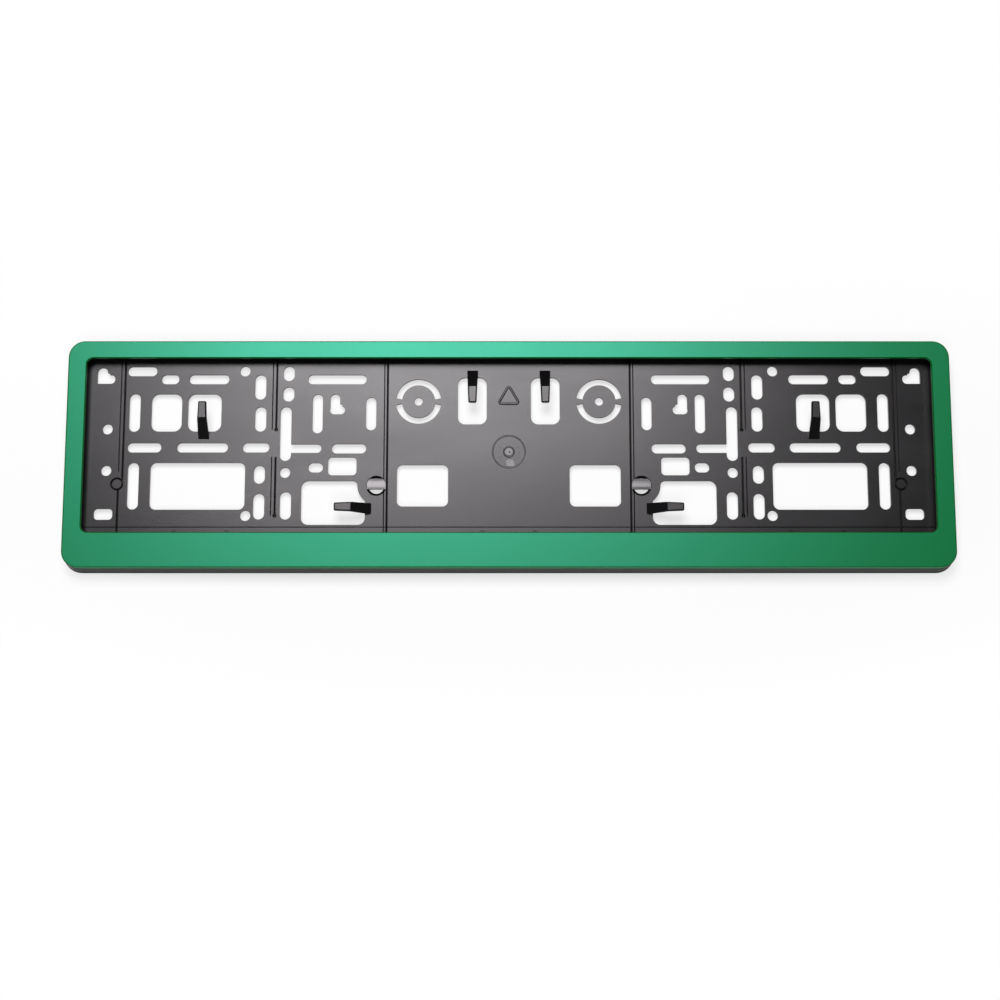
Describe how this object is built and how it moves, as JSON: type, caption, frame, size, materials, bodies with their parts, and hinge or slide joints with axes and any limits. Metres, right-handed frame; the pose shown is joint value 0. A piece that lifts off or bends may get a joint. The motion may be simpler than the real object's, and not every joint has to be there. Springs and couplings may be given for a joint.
{
  "type": "number plate holder",
  "caption": "Two-part moulded holder for a wide car number plate: a slotted black base with spring tongues under a clip-on green cover frame.",
  "frame": {"origin": "middle of the back, on the plane of the back ribs that lie on the car", "axes": "+X along the plate, +Y up the plate, +Z out of the front of the cover frame"},
  "size_m": [0.5366, 0.1416, 0.0144],
  "materials": {
    "base_plastic": "satin black moulded polypropylene",
    "cover_plastic": "satin green moulded plastic"
  },
  "bodies": {
    "root": {"base_plate": "base_plastic", "cover_frame": "cover_plastic"}
  },
  "joints": []
}
